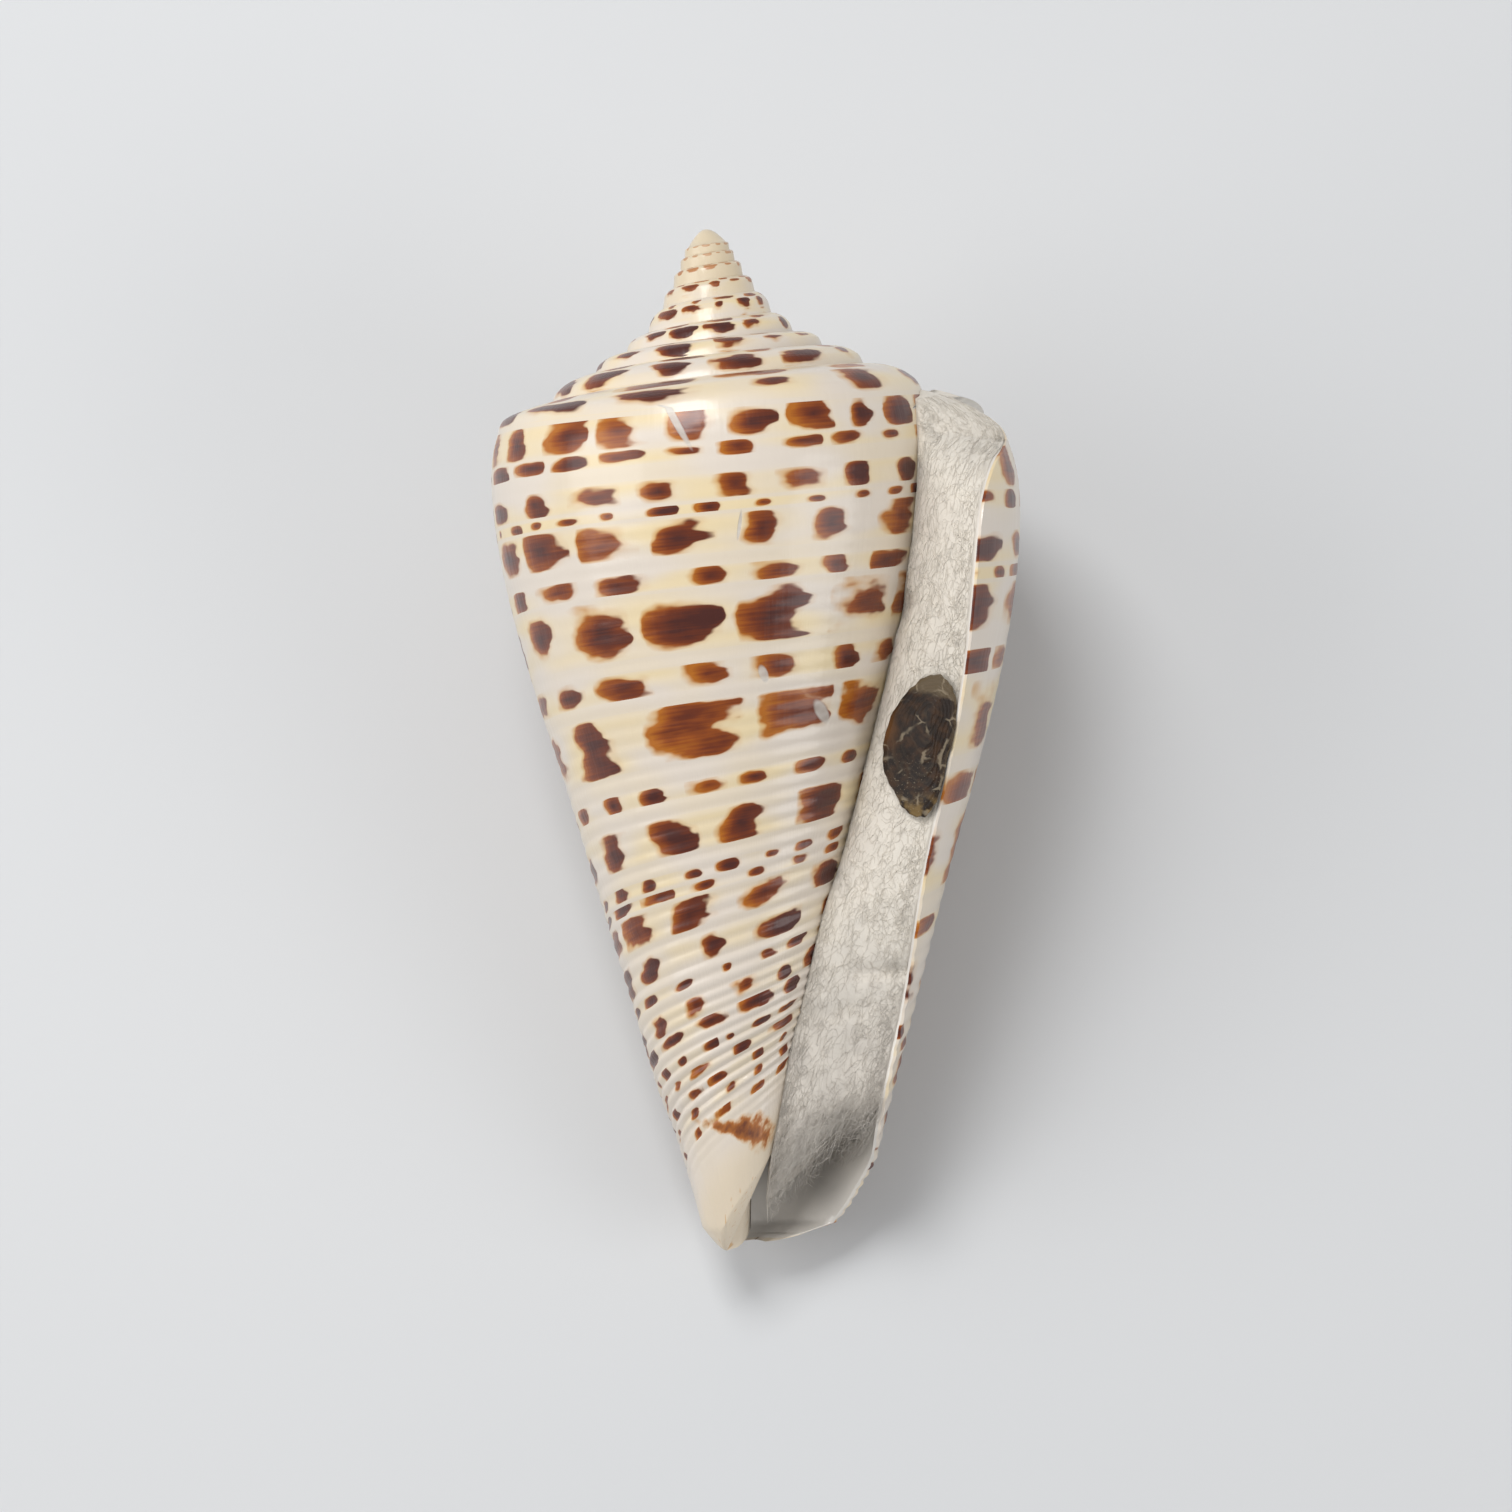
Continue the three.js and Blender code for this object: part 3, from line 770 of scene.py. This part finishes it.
# Cotton plug
# A wad of cotton wool pushed into the aperture so that the operculum has something to sit
# on. It is pressed in by hand, fills the slit from the body whorl to the lip, swells over
# the notch at the top, and ends in a loose tuft near the front. Nothing else holds it.
BACK_TURNS = 0.05
LEAST_THICKNESS = 0.05
OVER_LIP_END = (14.6, 17.5)
FOOT_DROP = 3.8
HEAD_DROP = 0.8
COTTON_COLUMNS = 40
COTTON_END = 64.8
COTTON_GAP = 0.03
END_LENGTH = 3.6
PLUG_LEAN_TURN = -1.0
CONTACT_TURNS = [
    (12, 0.062), (14, 0.07), (17, 0.077), (24, 0.079), (29, 0.069), (34, 0.065), (38, 0.067),
    (44, 0.082), (48, 0.108), (54, 0.123), (58, 0.13), (62, 0.14), (68, 0.12),
]
BACK_END_TURNS = [(12, 0.1), (50, 0.08), (58, -0.02), (65, -0.09)]
SWELLS = [
    (12, 0.2), (15, 0.85), (24, 0.75), (31, 1.2), (41, 1.2), (48, 0.6), (56, 0.3), (62, 0.1),
]
# Hollows pressed into it: place down, way across, radii down and across, and how deep.
HOLLOWS = [
    (15.2, 0.2, 0.7, 0.1, 0.5), (27.2, 0.13, 0.9, 0.1, 0.5), (22.6, 0.3, 0.16, 0.35, 0.12),
    (17.0, 0.78, 0.6, 0.08, 0.25), (46.5, 0.35, 0.8, 0.2, 0.2), (52.4, 0.75, 0.5, 0.4, 0.45),
    (54.6, 0.3, 0.6, 0.3, 0.3), (57.5, 0.6, 1.2, 0.16, 0.25), (34.6, 0.85, 3.4, 0.3, 0.75),
]


def lumps(points, size):
    """Smooth random heights from -1 to 1 over points in space."""
    flat = points.reshape(-1, 3) / size
    return np.array([mathutils.noise.noise(p) for p in flat]).reshape(points.shape[:-1])


# The free edge of the shell, from the suture over the roof and the shoulder down the lip.
last = int(np.searchsorted(-outer_edge[:, 1], COTTON_END))
outer, inner, growing = outer_edge[:last], inner_edge[:last], growth_way[:last]
level = np.maximum.accumulate(-(outer[:, 1] + inner[:, 1]) / 2)
low = level + FOOT_DROP * smoothstep(level, 50, COTTON_END)
low = low + HEAD_DROP * (1 - smoothstep(level, 12.3, 15))
body_turn = curve(CONTACT_TURNS, level)
body_radius = side_radius(body_turn - 1, low) + COTTON_GAP
body_side = place(body_turn - 1, low, body_radius, np.full(last, PLUG_LEAN_TURN))
over = (1 - smoothstep(level, *OVER_LIP_END))[:, None]
lip_side = mix(inner, outer, over) + growing * (0.04 + 0.2 * over)
lip_side -= (1 - over) * COTTON_GAP * (lip_side - body_side) / np.linalg.norm(
    lip_side - body_side, axis=-1, keepdims=True)
corner = inner + growing * 0.24 * over - 0.1 * over * np.array([0.6, 1, 0.3])

# The front swells out of the slit, and dies away to the tuft at its lower end.
s = np.linspace(0, 1, COTTON_COLUMNS + 1)
chord = lip_side - body_side
outward = np.stack([-chord[:, 2], 0 * level, chord[:, 0]], -1)
outward /= np.linalg.norm(outward, axis=-1, keepdims=True)
front = mix(body_side[:, None], lip_side[:, None], s[None, :, None])
swell = curve(SWELLS, level)[:, None] * np.sin(np.pi * s**0.66) ** 0.9
for at, across, down, wide, deep in HOLLOWS:
    reach = ((level[:, None] - at) / down) ** 2 + ((s - across) / wide) ** 2
    swell = swell - deep * np.exp(-reach)
front = front + swell[..., None] * outward[:, None]
roughness = smoothstep(level, 44, 56)[:, None] * 1.3 + 1
inset = np.sin(np.pi * np.clip(s, 0.02, 0.98)) ** 0.6
grain = 0.15 * lumps(front, 2.6) + 0.05 * lumps(front + 30, 1.0)
grain = grain + 0.018 * lumps(front + 60, 0.4)
front = front + (grain * roughness * inset)[..., None] * outward[:, None]

# The back stays clear of the walls inside the tube.
back_turn = np.minimum(body_turn - BACK_TURNS, rim_turns[:last] - BACK_TURNS)
back_turn = np.minimum(back_turn, curve(BACK_END_TURNS, level))
bore = side_radius(back_turn, np.maximum(level, 17)) - WALL - 0.25
pillar = side_radius(back_turn - 1, low) + 0.15
back = place(
    back_turn[:, None] + 0 * s, np.maximum(mix(low[:, None], level[:, None], s), 0),
    mix(pillar[:, None], np.maximum(bore, pillar + 0.3)[:, None], s), PLUG_LEAN_TURN + 0 * s)
closing = np.sqrt(np.clip((level - level[0]) / 2.5, LEAST_THICKNESS, 1))[:, None, None]
back = mix(front, back, closing)
ragged = 0.5 * np.sin(6 * s + 1) + 0.22 * np.sin(15 * s) - 0.7
ending = np.clip((COTTON_END + ragged - level[:, None]) / END_LENGTH, 0, 1)
ending = mix(LEAST_THICKNESS, 1, (1 - (1 - ending) ** 2) ** 0.7)[..., None]
front = mix(back, front, ending)
corner = mix(back[:, -1], corner, ending[:, -1])

ring = np.concatenate([front, corner[:, None], back[:, ::-1], front[:, :1]], 1)
bpy.ops.object.select_all(action="DESELECT")
bpy.ops.mesh.primitive_grid_add(x_subdivisions=ring.shape[1] - 1, y_subdivisions=len(ring) - 1)
cotton = new_piece("cotton_wool_plug")
cotton.data.vertices.foreach_set("co", in_scene(ring).ravel())
close_up(fill=True)
bpy.ops.object.shade_smooth()

COTTON_WHITE = paint(224, 217, 205)
COTTON_MOTTLE_AND_SHADE_GREY = paint(184, 177, 169)
# Painted shade: the cotton is painted greyer towards its lower end, where it sinks deep into the
# canal.
PAINTED_SHADE_DEEPEST = 62 * MM
PAINTED_SHADE_REACH = 17 * MM
cotton_material, tree, shader = new_material("cotton_wool", Roughness=1.0, Sheen_Weight=0.15)
place_in_space = add_node(tree, "ShaderNodeTexCoord", output=3)
_, up_axis, _ = parts_of(place_in_space)
painted_shade_deepest_level = SHELL_ORIGIN.y - PAINTED_SHADE_DEEPEST
# Painted shade, strongest at the lower end of the plug.
painted_shade_low = ease(up_axis, painted_shade_deepest_level, painted_shade_deepest_level + PAINTED_SHADE_REACH, 1.0, 0.0)
clouds = noise(place_in_space, 700.0, 3.0)
# Faint random grey clouds of the wool itself, plus the painted shade lower down.
mottle_and_painted_shade = ease(clouds, 0.3, 0.7, 0.0, 0.16) + painted_shade_low * 0.55
feed(tree, shader, "Base Color", mix_colour(mottle_and_painted_shade, COTTON_WHITE, COTTON_MOTTLE_AND_SHADE_GREY))
fuzz = noise(place_in_space, 3500.0, 4.0)
add_relief(tree, shader, fuzz + clouds, 0.5, 0.06 * MM)
cotton.data.materials.append(cotton_material)
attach(cotton, "root")
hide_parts("cotton_plug")

# Cotton fibres
# The loose ends of the wool: fine curled fibres that lie on the plug and stand a little
# off it, longer along the edges and at the tuft. They are part of the same wad.
FIBRES = 5200
FIBRE_RADIUS = 0.011
FIBRE_RINGS = 6
EDGE_SHARE = 0.35
TUFT_SHARE = 0.12
ROW_SPACING = 0.27
COLUMN_SPACING = 0.16
random = np.random.default_rng(7)
rows_in, columns_in = front.shape[0] - 8, front.shape[1] - 3
row_at = random.uniform(3, rows_in, FIBRES)
column_at = random.uniform(1, columns_in, FIBRES)
at_edge = random.random(FIBRES) < EDGE_SHARE
column_at[at_edge] = np.where(
    random.random(at_edge.sum()) < 0.5, random.uniform(0.5, 3, at_edge.sum()),
    random.uniform(columns_in - 2, columns_in + 1, at_edge.sum()))
at_tuft = random.random(FIBRES) < TUFT_SHARE
row_at[at_tuft] = random.uniform(rows_in - 14, rows_in + 4, at_tuft.sum())
heading = random.uniform(0, 2 * np.pi, FIBRES)
curl = random.normal(0, 0.55, FIBRES)
length = random.uniform(0.35, 1.0, FIBRES) * (1 + at_tuft)
lift = random.uniform(0.01, 0.09, FIBRES) * (1 + 3 * at_tuft)
spine = []
for step in range(FIBRE_RINGS):
    t = step / (FIBRE_RINGS - 1)
    turning = heading + curl * step
    row_at = row_at + np.cos(turning) * length / ROW_SPACING * 0.4
    column_at = column_at + np.sin(turning) * length / COLUMN_SPACING * 0.25
    row_at = np.clip(row_at, 2, rows_in + 5)
    column_at = np.clip(column_at, 0.2, columns_in + 1.8)
    i, j = row_at.astype(int), column_at.astype(int)
    a, b = (row_at - i)[:, None], (column_at - j)[:, None]
    left_side = mix(front[i, j], front[i + 1, j], a)
    right_side = mix(front[i, j + 1], front[i + 1, j + 1], a)
    on = mix(left_side, right_side, b)
    rise = 0.008 + lift * math.sin(math.pi * (0.15 + 0.85 * t))
    on[:, 1] -= at_tuft * length * t
    spine.append(on + outward[i] * rise[:, None])
spine = np.array(spine).transpose(1, 0, 2)
along = np.gradient(spine, axis=1)
along /= np.linalg.norm(along, axis=-1, keepdims=True) + 1e-9
aside = np.cross(along, np.array([0.3, 0.2, 0.93]))
aside /= np.linalg.norm(aside, axis=-1, keepdims=True) + 1e-9
above = np.cross(aside, along)
fullness = np.sin(np.pi * np.linspace(0.12, 0.88, FIBRE_RINGS))
taper = FIBRE_RADIUS * (0.35 + 0.65 * fullness)[:, None]
sides = [
    spine + taper * (math.cos(angle) * aside + math.sin(angle) * above)
    for angle in (0, math.tau / 3, 2 * math.tau / 3)
]
points = np.stack(sides, 2).reshape(-1, 3)
faces = []
for fibre in range(FIBRES):
    base = fibre * FIBRE_RINGS * 3
    faces.append((base + 2, base + 1, base))
    for step in range(FIBRE_RINGS - 1):
        near = base + step * 3
        for k in range(3):
            after = (k + 1) % 3
            faces.append((near + k, near + after, near + 3 + after, near + 3 + k))
    end = base + (FIBRE_RINGS - 1) * 3
    faces.append((end, end + 1, end + 2))
fibre_mesh = bpy.data.meshes.new("cotton_fibres")
fibre_mesh.from_pydata(in_scene(points).tolist(), [], faces)
fibres = bpy.data.objects.new("cotton_fibres", fibre_mesh)
bpy.context.collection.objects.link(fibres)
bpy.ops.object.select_all(action="DESELECT")
bpy.context.view_layer.objects.active = fibres
fibres.select_set(True)
bpy.ops.object.mode_set(mode="EDIT")
bpy.ops.mesh.select_all(action="SELECT")
bpy.ops.mesh.normals_make_consistent(inside=False)
bpy.ops.object.mode_set(mode="OBJECT")
bpy.ops.object.shade_smooth()
fibres.data.materials.append(cotton_material)
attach(fibres, "root")

# Operculum
# The animal's own little door: a thin horny plate, dark brown, grown in layers round its
# upper end, with a clear olive edge and a pale crust. It is set on the cotton by hand.
PLATE_OUTLINE = [
    (2.15, 0.1), (1.8, -0.74), (1.65, -1.78), (1.28, -2.97), (0.84, -4.0), (0.2, -4.8),
    (-0.57, -4.62), (-1.31, -4.0), (-1.87, -2.97), (-2.39, -1.78), (-2.52, -0.5), (-2.4, 0.8),
    (-1.75, 2.4), (-0.79, 3.78), (0.1, 4.6), (1.15, 4.88), (1.95, 4.55), (2.36, 3.8),
    (2.5, 2.7), (2.42, 1.2),
]
PLATE_CENTRE = np.array([12.42, -36.9, 9.25])
PLATE_TILT = math.tan(math.radians(25))
PLATE_NUCLEUS = np.array([0.7, 2.6])
PLATE_SEGMENTS = 120
PLATE_RINGS = 56
PLATE_LAYERS = 7
PLATE_MIDDLE_HEIGHT = 0.34
LAYER_STEP = 0.036

# The face steps down layer by layer from the nucleus to the edge, and is a little warped.
count = len(PLATE_OUTLINE)
index = np.linspace(0, count, PLATE_SEGMENTS + 1)
outline = np.stack([
    curve([(i, PLATE_OUTLINE[i % count][k]) for i in range(-2, count + 3)], index)
    for k in (0, 1)], -1)
swing = index * 2 * np.pi / count
chips = 1 + 0.012 * np.sin(7 * swing) + 0.008 * np.sin(17 * swing + 1)
chips = chips + 0.008 * np.sin(29 * swing)
outline = outline * chips[:, None]
way = np.linspace(0, 1, PLATE_RINGS)[:, None]
layer = way * PLATE_LAYERS + smoothstep(way, 0.02, 0.2) * (
    0.3 * np.sin(3 * swing) + 0.15 * np.sin(8 * swing + 2))
riser = layer - np.floor(layer)
steps_down = np.floor(layer) + smoothstep(riser, 0.75, 1)
height = PLATE_MIDDLE_HEIGHT - LAYER_STEP * steps_down + 0 * swing
height = height * (1 - smoothstep(way, 0.9, 1) * 0.75)
face = mix(PLATE_NUCLEUS, outline, way[..., None] ** 0.85)
height = height + 0.05 * np.sin(face[..., 1] * 1.3 + 0.4) + 0.035 * np.sin(face[..., 0] * 2.2)
edge = 1.012 * outline
inward = np.linspace(0, 1, 8)[:, None] ** 1.2
under = mix(outline * 0.96, PLATE_NUCLEUS, inward[..., None])
edge_height = height[-1] - 0.07
plate = np.concatenate([face, edge[None], under])
under_height = mix(edge_height, edge_height.mean(), inward) - 0.09
plate_height = np.concatenate([height, edge_height[None], under_height])
plate_height += PLATE_TILT * plate[..., 0] - 0.2
plate = np.concatenate([plate, plate_height[..., None]], -1)
plate[:, -1] = plate[:, 0]
bpy.ops.object.select_all(action="DESELECT")
bpy.ops.mesh.primitive_grid_add(x_subdivisions=PLATE_SEGMENTS, y_subdivisions=len(plate) - 1)
operculum = new_piece("operculum_plate")
mesh = operculum.data
mesh.vertices.foreach_set("co", in_scene(PLATE_CENTRE + plate).ravel())
corners = corner_points(mesh)
layers = np.concatenate([way[:, 0], np.ones(len(plate) - PLATE_RINGS)])[:, None] + 0 * swing
layer_map = np.stack([layers, 0 * layers + swing / math.tau], -1)
mesh.uv_layers.remove(mesh.uv_layers[0])
for name, values in (("face", plate[..., :2]), ("layer", layer_map)):
    places = values.reshape(-1, 2)[corners]
    mesh.uv_layers.new(name=name).data.foreach_set("uv", places.ravel())
close_up()
bpy.ops.object.shade_smooth_by_angle(angle=math.radians(40))

DARK_HORN = paint(30, 19, 12)
BROWN_HORN = paint(58, 38, 22)
OLIVE_HORN = paint(92, 78, 58)
AMBER_HORN = paint(98, 60, 20)
FOOT_HORN = paint(132, 108, 66)
CRUST = paint(150, 136, 114)
horn, tree, shader = new_material(
    "horn", Roughness=0.42, Coat_Weight=0.06, Coat_Roughness=0.12, Specular_IOR_Level=0.2)
x, y, _ = parts_of(add_node(tree, "ShaderNodeUVMap", {"uv_map": "face"}))
ring_way, ring_turn, _ = parts_of(add_node(tree, "ShaderNodeUVMap", {"uv_map": "layer"}))
face_place = point(x, y)
mottle = noise(face_place, 1.3, 3.0)
colour = mix_colour(ease(mottle, 0.4, 0.68), DARK_HORN, BROWN_HORN)
growth_lines = noise(point(ring_way * 26 + mottle * 2, ring_turn * 3), 1.0, 1.0, "2D")
colour = mix_colour(ease(growth_lines, 0.5, 0.75) * 0.16, colour, OLIVE_HORN)
cap = ease(y + x * 0.25 + mottle * 0.8, 4.0, 4.5)
colour = mix_colour(cap, colour, OLIVE_HORN)
left_edge = ease(x * -1, 1.2, 2.3) * ease(y, -0.6, 1.2) * ease(y, 2.2, 4.2, 1.0, 0.0)
colour = mix_colour(left_edge * 0.8, colour, AMBER_HORN)
right_edge = ease(ring_way, 0.8, 1.0) * ease(x, 1.2, 2.0)
colour = mix_colour(right_edge * ease(mottle, 0.35, 0.6), colour, OLIVE_HORN)
foot = ease(y * -1, 2.9, 4.4) * ease(mottle, 0.42, 0.6)
colour = mix_colour(foot * 0.7, colour, FOOT_HORN)
wander_x, wander_y, _ = parts_of(noise(face_place, 0.75, 3.0, output=1))
crack_place = point(x + (wander_x - 0.5) * 1.8, y + (wander_y - 0.5) * 1.8)
cracks = add_node(
    tree, "ShaderNodeTexVoronoi", {"feature": "DISTANCE_TO_EDGE"},
    {"Vector": crack_place, "Scale": 0.42})
crusted = ease(cracks, 0.01, 0.05, 1.0, 0.0) * ease(noise(face_place, 0.9, 1.0), 0.45, 0.62)
grit = ease(noise(face_place, 6.0, 2.0), 0.6, 0.72) * ease(y * -1, -0.5, 2.5)
crusted = (crusted * 0.6).math("MAXIMUM", grit * 0.5)
colour = mix_colour(crusted, colour, CRUST)
feed(tree, shader, "Base Color", colour)
feed(tree, shader, "Roughness", crusted * 0.4 + 0.38 + mottle * 0.2)
relief = growth_lines * 0.5 + crusted * 0.6 + noise(face_place, 9.0, 3.0) * 0.5
add_relief(tree, shader, relief, 0.7, 0.08 * MM)
operculum.data.materials.append(horn)
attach(operculum, "root")
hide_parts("operculum")
